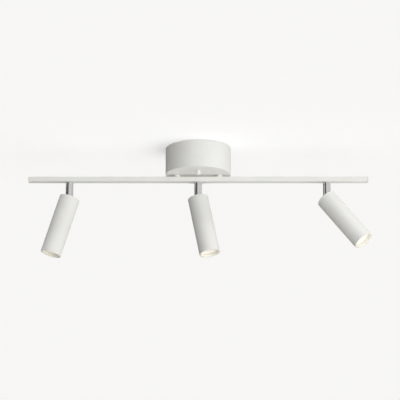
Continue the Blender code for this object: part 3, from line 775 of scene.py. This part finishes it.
carve(cover, rod(PIN_HOLE, (-PAST, 0, 0), (PAST, 0, 0)))
rim = radius - 0.0007
pick_edges(cover, lambda a, b: min(a.z, b.z) > high.z - NEAR and max(a.xy.length, b.xy.length) < rim)
bpy.ops.mesh.bevel(offset=0.0004, segments=3, profile=0.5, affect="EDGES")
bpy.ops.object.mode_set(mode="OBJECT")
dress(cover, "paint")
place_three(cover, "cover_", "white_paint", "end_cap_")

# %% [markdown]
# The ring holds the lens from below. Its bore has a soft step near the lens and a rounded lip at
# the mouth. Its cream tone is lighter than the shade's paint: partly the moulding's own colour
# and partly painted light from the lens.

# %% Model the lens ring
low, high = measure("trim_ring_middle", HEAD_FRAME["middle"])
outer, bore, edge, lip = high.x, 0.0176, 0.0002, 0.0005
ring_piece = turn(
    "ring",
    [
        (outer - edge, high.z), (outer, high.z - edge), (outer, low.z + edge), (outer - edge, low.z),
        (bore + lip, low.z), *rounding(bore + lip, low.z + lip, lip, -90, -180, 4),
        (bore, low.z + 0.0030), (bore + edge, low.z + 0.0033), (bore + edge, high.z - 0.0006),
        (bore, high.z - 0.0004), (bore, high.z),
    ],
    112, tube=True,
)
dress(ring_piece, "ring")
place_three(ring_piece, "glare_ring_", "ring", "trim_ring_")

# %% [markdown]
# The lens is one moulding: a flange that the ring holds, a face with shallow concentric steps
# round a low dome, and a cone behind it that gathers the light. The steps are real geometry, so
# they catch the light in every view.

# %% Model the lens
low, high = measure("lens_middle", HEAD_FRAME["middle"])
radius, face = high.x, low.z
flange = face + 0.0019
rim = radius - 0.0003
rings = [(rim, flange), (radius, flange - 0.0003), (radius, face + 0.0009), (rim, face + 0.0006)]
STEPS, STEP_DEPTH, STEP_FLOOR = 5, 0.00035, 0.0004
DOME_EDGE, STEPS_EDGE, DOME, DOME_RINGS = 0.0060, 0.0172, 0.0004, 6
for i in range(STEPS):
    start = STEPS_EDGE - (STEPS_EDGE - DOME_EDGE) * i / STEPS
    end = STEPS_EDGE - (STEPS_EDGE - DOME_EDGE) * (i + 1) / STEPS
    ridge = face + STEP_FLOOR + STEP_DEPTH
    rings += [(start, ridge), (start - 0.0002, face + STEP_FLOOR), ((start + end) / 2, face + 0.00055),
              (end + 0.0001, ridge)]
for i in range(DOME_RINGS):
    share = 1 - i / DOME_RINGS
    rings.append((DOME_EDGE * share + 0.0002, face + DOME * share ** 2))
lens = turn(
    "lens",
    [(0.0030, high.z - 0.0045), (0.0032, high.z), (0.0065, high.z), (0.0098, high.z - 0.0046),
     (0.0134, high.z - 0.0096), (0.0165, flange + 0.0004), *rings],
    96,
)
dress(lens, "lens", 50)
place_three(lens, "beam_lens_", "lens", "lens_")

# %% [markdown]
# ## Inside the canopy
# From above the canopy is open, so what it holds is seen: the ceiling plate with its slots and
# studs, the terminal block, and the power supply. The plate starts as a cube. Its corners are
# rounded, its holes are drilled, and its edges get a small stamped radius.

# %% Model the ceiling plate
low, high = measure("ceiling_bracket")
plate = box("ceiling_plate", low, high)
PLATE_CORNER, PLATE_EDGE = 0.0030, 0.0002
round_along(plate, 2, PLATE_CORNER, 8)
stud_y = middle_of("stud_rear").y
earth_y = middle_of("earth_screw").y
for y in (-stud_y, stud_y, earth_y):
    carve(plate, rod(STUD_HOLE, (0, y, low.z - THROUGH), (0, y, high.z + THROUGH)))
SLOT_Y, HALF_LENGTH, HALF_WIDTH = 0.0240, 0.0060, 0.00225
for sign in (-1, 1):
    y = sign * SLOT_Y
    near = (-HALF_WIDTH, y - HALF_LENGTH, low.z - THROUGH)
    slot = box("slot", near, (HALF_WIDTH, y + HALF_LENGTH, high.z + THROUGH))
    round_along(slot, 2, HALF_WIDTH * ALMOST, 8)
    carve(plate, slot)
pick_edges(plate, lambda a, b: abs(a.z - b.z) < 1e-6)
bpy.ops.mesh.bevel(offset=PLATE_EDGE, segments=2, profile=0.5, affect="EDGES")
bpy.ops.object.mode_set(mode="OBJECT")
dress(plate, "zinc")
hand_in(plate, ROOT, "zinc", "ceiling_bracket")
print("plate", [round(v * 1000, 1) for v in plate.dimensions], "mm")

# %% [markdown]
# Each stud is threaded from its collar to its end. One thread ridge is modelled as four rings,
# and the ridges follow each other down the shaft at the pitch of an M4 screw.

# %% Model the studs
SHANK, COLLAR, COLLAR_HEIGHT, EDGE = 0.0020, 0.0036, 0.0022, 0.0003
PLAIN = 0.0024                  # length left without a thread under the collar
PITCH, THREAD_DEPTH = 0.0007, 0.00025
THREAD = ((0.15, THREAD_DEPTH), (0.35, THREAD_DEPTH), (0.65, 0.0), (0.85, 0.0))
for end in ("front", "rear"):
    node = "stud_" + end
    low, high = measure(node)
    spot = middle_of(node)
    collar_top = measure("ceiling_bracket")[0].z - SLACK
    collar_low = collar_top - COLLAR_HEIGHT
    rings = [(SHANK - EDGE, low.z), (SHANK, low.z + EDGE)]
    z = low.z + 0.0004
    while z < collar_low - PLAIN:
        for share, depth in THREAD:
            rings.append((SHANK - depth, z + PITCH * share))
        z += PITCH
    rings += [(SHANK, collar_low - 0.0002), (COLLAR - EDGE, collar_low), (COLLAR, collar_low + EDGE),
              (COLLAR, collar_top - EDGE), (COLLAR - EDGE, collar_top), (SHANK, collar_top + 0.00002),
              (SHANK, high.z - EDGE), (SHANK - EDGE, high.z)]
    stud = turn("threaded_stud_" + end, rings, 24)
    shift(stud, Matrix.Translation((spot.x, spot.y, 0)))
    dress(stud, "zinc")
    hand_in(stud, ROOT, "zinc", node)
    print(stud.name, "rings", len(rings))

# %% [markdown]
# The power supply is a moulded box in two halves. A bevelled cube is bisected where the halves
# meet and where the two end covers start, and the strips between the cuts are pushed in to make
# the parting lines. Shallow ribs on the lid stand in for its grip pattern.

# %% Model the power supply
def groove(obj, axis, place, width, depth):
    """Cuts a narrow groove round the piece: two bisects, and the strip between them pushed in."""
    normal = [0, 0, 0]
    normal[axis] = 1
    for side in (-1, 1):
        point = [0, 0, 0]
        point[axis] = place + side * width / 2
        select(obj)
        bpy.ops.object.mode_set(mode="EDIT")
        bpy.ops.mesh.select_all(action="SELECT")
        bpy.ops.mesh.bisect(plane_co=point, plane_no=normal)
        bpy.ops.object.mode_set(mode="OBJECT")

    def in_strip(face):
        return abs(face.center[axis] - place) < width / 2 and abs(face.normal[axis]) < 0.5

    count = pick_faces(obj, in_strip)
    bpy.ops.mesh.extrude_region_shrink_fatten(TRANSFORM_OT_shrink_fatten={"value": -depth})
    bpy.ops.object.mode_set(mode="OBJECT")
    return count


low, high = measure("led_driver")
supply = box("power_supply", low, high)
round_along(supply, None, 0.0018, 5)
COVER, PARTING = 0.0165, 0.0165
cuts = [groove(supply, 2, low.z + PARTING, 0.0005, 0.0004)]
cuts += [groove(supply, 0, x, 0.0006, 0.0005) for x in (low.x + COVER, high.x - COVER)]
RIBS, RIB_PITCH, RIB_HALF, RIB_DEPTH, RIB_MARGIN = 9, 0.0050, 0.0008, 0.0005, 0.0045
for i in range(RIBS):
    x = (i - RIBS // 2) * RIB_PITCH
    near = (x - RIB_HALF, low.y + RIB_MARGIN, high.z - RIB_DEPTH)
    rib = box("rib", near, (x + RIB_HALF, high.y - RIB_MARGIN, high.z + 0.001))
    round_along(rib, 2, 0.00075, 4)
    carve(supply, rib)
SCREW_WELL, WELL_DEPTH = 0.0026, 0.0022
middle_y = (low.y + high.y) / 2
for x in (low.x + COVER / 2, high.x - COVER / 2):
    carve(supply, rod(SCREW_WELL, (x, middle_y, high.z - WELL_DEPTH), (x, middle_y, high.z + 0.001)))
dress(supply, "supply")
hand_in(supply, ROOT, "driver_plastic", "led_driver")
print("supply grooves", cuts, "faces", len(supply.data.polygons))

# %% [markdown]
# The terminal block has three poles. A bevelled cube is grooved between the poles, and each pole
# gets a wire entry at the front and a screw well underneath.

# %% Model the terminal block
low, high = measure("terminal_block")
block = box("connector_block", low, high)
round_along(block, None, 0.0008, 4)
POLE, POLE_SCREW, WIRE_ENTRY = 0.0090, 0.0021, 0.0016
entry_z = high.z - 0.0040
for x in (-POLE / 2, POLE / 2):
    groove(block, 0, x, 0.0012, 0.0010)
spot = (low + high) / 2
for pole in (-1, 0, 1):
    x = pole * POLE
    carve(block, rod(POLE_SCREW, (x, spot.y, low.z - 0.001), (x, spot.y, low.z + 0.0050)))
    carve(block, rod(WIRE_ENTRY, (x, low.y - 0.001, entry_z), (x, spot.y - 0.0030, entry_z)))
dress(block, "nylon")
hand_in(block, ROOT, "nylon", "terminal_block")
print("terminal block faces", len(block.data.polygons))

# %% [markdown]
# ## Leads
# The leads are thin insulated wires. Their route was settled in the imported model, where each is
# a coarse six-sided tube, so a copy of that tube is the start: its loose triangles are merged,
# turned back into quads, subdivided until they are round, and fattened by what that shrinks.

# %% Model the leads
FATTEN = 0.00006


def wire(node, name, body):
    mesh = frame["nodes"][node].data.copy()
    made = bpy.data.objects.new(name, mesh)
    bpy.context.scene.collection.objects.link(made)
    select(made)
    bpy.ops.object.mode_set(mode="EDIT")
    bpy.ops.mesh.select_all(action="SELECT")
    bpy.ops.mesh.remove_doubles(threshold=2.5 * MERGE)
    bpy.ops.mesh.tris_convert_to_quads(face_threshold=radians(60), shape_threshold=radians(60))
    bpy.ops.object.mode_set(mode="OBJECT")
    bpy.ops.object.modifier_add(type="SUBSURF")
    made.modifiers[-1].levels = made.modifiers[-1].render_levels = 2
    bpy.ops.object.modifier_apply(modifier=made.modifiers[-1].name)
    bpy.ops.object.mode_set(mode="EDIT")
    bpy.ops.mesh.select_all(action="SELECT")
    bpy.ops.transform.shrink_fatten(value=FATTEN)
    bpy.ops.object.mode_set(mode="OBJECT")
    dress(made, "cable", 60)
    return hand_in(made, body, "lead_white", node)


for side in SIDES:
    first = wire("lead_" + side, "wire_" + side, ROOT)
    second = wire("lamp_lead_" + side, "lamp_wire_" + side, "head_" + side)
    print(first.name, len(first.data.polygons), "faces,", second.name, len(second.data.polygons))

# %% [markdown]
# The pieces that stay as they came in are hidden for the most part: pins, washers, nuts, bolts,
# heat sinks and chip boards. Their shape is right, so each only gets its finish.

# %% Dress the loaded pieces that stay
KEPT = {
    "earth_screw": "zinc", "hollow_bolt_": "zinc", "bolt_nut_": "zinc", "swivel_nut_": "zinc",
    "hinge_pin_": "zinc", "friction_washer_": "bronze", "heat_sink_": "aluminium", "led_board_": "board",
}
count = 0
for name, node in frame["nodes"].items():
    for start, material in KEPT.items():
        if name.startswith(start):
            node.material_slots[0].material = finish[material]
            count += 1
shown = [n for n, o in frame["nodes"].items() if not o.hide_render]
print("dressed", count, "of", len(shown), "loaded pieces still shown")

# %% [markdown]
# ## Stage
# The lamp hangs from a pale ceiling over a plain pale floor. The ceiling is one-sided: from
# above it is clear, so the canopy's inside can be seen. Both planes are seen by the camera only:
# they throw no shadow and no light on the lamp, and both glow a little, so they stay even.

# %% Ceiling and floor
ABOVE = 0.0005                  # the ceiling is just clear of the bracket's face
FLOOR = -1.5


def plane(name, z, size):
    deselect()
    bpy.ops.mesh.primitive_plane_add(size=size, location=(0, 0, 0))
    obj = bpy.context.object
    obj.name = obj.data.name = name
    bpy.ops.object.mode_set(mode="EDIT")
    bpy.ops.mesh.select_all(action="SELECT")
    bpy.ops.transform.translate(value=(0, 0, z))
    bpy.ops.object.mode_set(mode="OBJECT")
    obj.visible_shadow = obj.visible_diffuse = obj.visible_glossy = False
    return obj


def matt(name, tone, glow):
    """A matt surface that also glows a little, so that it is even over its whole size."""
    material = bpy.data.materials.new(name)
    material.use_nodes = True
    tree = material.node_tree
    shader = tree.nodes["Principled BSDF"]
    shader.inputs["Roughness"].default_value = 1.0
    shader.inputs["Specular IOR Level"].default_value = 0.0
    shader.inputs["Base Color"].default_value = (*tone, 1)
    shader.inputs["Emission Color"].default_value = (1, 1, 1, 1)
    shader.inputs["Emission Strength"].default_value = glow
    return material, tree, shader


ceiling = plane("ceiling", ABOVE, 60.0)
select(ceiling)
bpy.ops.object.mode_set(mode="EDIT")
bpy.ops.mesh.select_all(action="SELECT")
bpy.ops.mesh.flip_normals()
bpy.ops.object.mode_set(mode="OBJECT")
material, tree, shader = matt("ceiling_paint", (0.80, 0.80, 0.80), 0.31)
behind = add(tree, "NewGeometry", {}).outputs["Backfacing"]
clear = add(tree, "BsdfTransparent", {}).outputs[0]
one_sided = add(tree, "MixShader", {0: behind, 1: shader.outputs[0], 2: clear})
tree.links.new(one_sided.outputs[0], tree.nodes["Material Output"].inputs[0])
ceiling.data.materials.append(material)
floor = plane("floor", FLOOR, 120.0)
floor.data.materials.append(matt("floor_paint", (0.80, 0.80, 0.79), 0.72)[0])
print("ceiling looks down:", ceiling.data.polygons[0].normal.z < 0)

# %% [markdown]
# ## Light
# The key is a big soft box in front of the lamp, to its right and below it. It is near enough
# for its light to fall off along the bar, and round pieces fade to grey on their left. Two far
# lights help the other sides: one from above for the canopy's inside, and one from behind. A
# fourth is for the ceiling only and gives the canopy a short shadow to its left.

# %% Lights
def direction(azimuth, elevation=0.0):
    """A direction as seen from the lamp. Azimuth 0 is the front and 90 the right."""
    a, e = radians(azimuth), radians(elevation)
    return Vector((sin(a) * cos(e), -cos(a) * cos(e), sin(e)))


def place_light(name, kind, place, energy):
    """A light that faces the lamp and isn't seen in mirrors. The surroundings give the reflections."""
    data = bpy.data.lights.new(name, kind)
    data.energy = energy
    obj = bpy.data.objects.new(name, data)
    bpy.context.scene.collection.objects.link(obj)
    obj.location = place
    obj.rotation_euler = place.to_track_quat("Z", "Y").to_euler()
    obj.visible_glossy = obj.visible_camera = False
    return obj


def sun(name, azimuth, elevation, strength, softness):
    obj = place_light(name, "SUN", direction(azimuth, elevation), strength)
    obj.data.angle = radians(softness)
    return obj


KEY_DISTANCE, KEY_WIDTH, KEY_POWER = 2.0, 2.2, 21.5
key = place_light("key", "AREA", direction(42, -26) * KEY_DISTANCE, KEY_POWER)
key.data.shape = "DISK"
key.data.size = KEY_WIDTH
top_light = sun("top", 20, 84, 1.9, 40)
back_light = sun("back", 180, 14, 1.5, 16)
wash = sun("ceiling_wash", 72, -66, 0.80, 60)

# %% [markdown]
# Light linking says what a light falls on and what throws its shadow. It keeps the ceiling as
# even as a studio's, with only the canopy's own soft shadow on it, and it stops the bar from
# shading the strip of canopy just above it.

# %% Link the lights
def link(collection, objects, state):
    for obj in objects:
        collection.objects.link(obj)
    for entry in collection.collection_objects:
        entry.light_linking.link_state = state
    return collection


def light_only(light, lit, state, blockers=()):
    """INCLUDE limits a light to these pieces and EXCLUDE keeps it off them, and so for its shadows."""
    receivers = bpy.data.collections.new(light.name + "_receivers")
    light.light_linking.receiver_collection = receivers
    link(receivers, lit, state)
    if blockers:
        shading = bpy.data.collections.new(light.name + "_blockers")
        light.light_linking.blocker_collection = shading
        link(shading, blockers, state)


light_only(key, [ceiling], "EXCLUDE", [bar])
light_only(top_light, [ceiling, floor], "EXCLUDE")
light_only(back_light, [ceiling, floor], "EXCLUDE")
light_only(wash, [ceiling], "INCLUDE", [canopy])
print("lights linked", 4)

# %% [markdown]
# The surroundings give the rest. For soft light they are brighter low down and towards the
# front right. For mirrors they have a dark side on the left, which draws the dark line down one
# side of each chrome stem. The camera itself sees a plain pale backdrop.

# %% Surroundings
world = bpy.data.worlds.new("studio")
bpy.context.scene.world = world
world.use_nodes = True
tree = world.node_tree
tree.nodes.clear()
toward = add(tree, "TexCoord", {}).outputs["Generated"]
height = add(tree, "SeparateXYZ", {0: toward}).outputs[2]


def towards(azimuth):
    """1 where the ray goes to that side of the room, and -1 on the opposite side."""
    aim = direction(azimuth)
    return add(tree, "VectorMath", {0: toward, 1: aim}, operation="DOT_PRODUCT").outputs["Value"]


BRIGHT_SIDE, MIRROR_SIDE, LEAST = 25, 75, 0.04
front = towards(BRIGHT_SIDE)
level = spread(tree, height, 0.32, -0.32, -1.0, 1.0)
summed = maths(tree, "ADD", level, spread(tree, front, 0.02, 0.64, -1.0, 1.0))
soft = maths(tree, "MAXIMUM", summed, LEAST)
dark_side = spread(tree, towards(MIRROR_SIDE), 0.11, 0.71, -0.28, -0.10)
overhead = spread(tree, height, 0.0, 0.55, 0.30, 0.55)
mirrored = maths(tree, "MAXIMUM", dark_side, overhead)
warm_side = spread(tree, front, 0.0, 1.0, -0.9, 0.3)
warmth = blend_color(tree, warm_side, (1, 0.965, 0.91, 1), (1, 0.995, 0.975, 1))
path = add(tree, "LightPath", {}).outputs
strength = add(tree, "Mix", {0: path["Is Glossy Ray"], 2: soft, 3: mirrored}).outputs[0]
around = add(tree, "Background", {"Color": warmth, "Strength": strength})
backdrop = add(tree, "Background", {"Color": (0.92, 0.92, 0.92, 1), "Strength": 1.0})
seen = {0: path["Is Camera Ray"], 1: around.outputs[0], 2: backdrop.outputs[0]}
add(tree, "OutputWorld", {0: add(tree, "MixShader", seen).outputs[0]})
bpy.context.scene.view_settings.view_transform = "Standard"
print("world nodes", len(tree.nodes))

# %% [markdown]
# ## Camera
# The camera stands in front of the lamp and well below it, and looks up with a long lens.

# %% Camera
TARGET = Vector((0.0036, 0.0, -0.1098))
DISTANCE, LOOK_UP, LENS = 3.0546, 0.25706, 133.7
camera_data = bpy.data.cameras.new("camera")
camera_data.lens = LENS
camera_data.sensor_width = 36.0
camera_data.clip_end = 200.0
camera = bpy.data.objects.new("camera", camera_data)
bpy.context.scene.collection.objects.link(camera)
away = Vector((0, -cos(LOOK_UP), -sin(LOOK_UP)))
camera.location = TARGET + away * DISTANCE
camera.rotation_euler = away.to_track_quat("Z", "Y").to_euler()
bpy.context.scene.camera = camera
print("camera at", [round(v, 3) for v in camera.location])
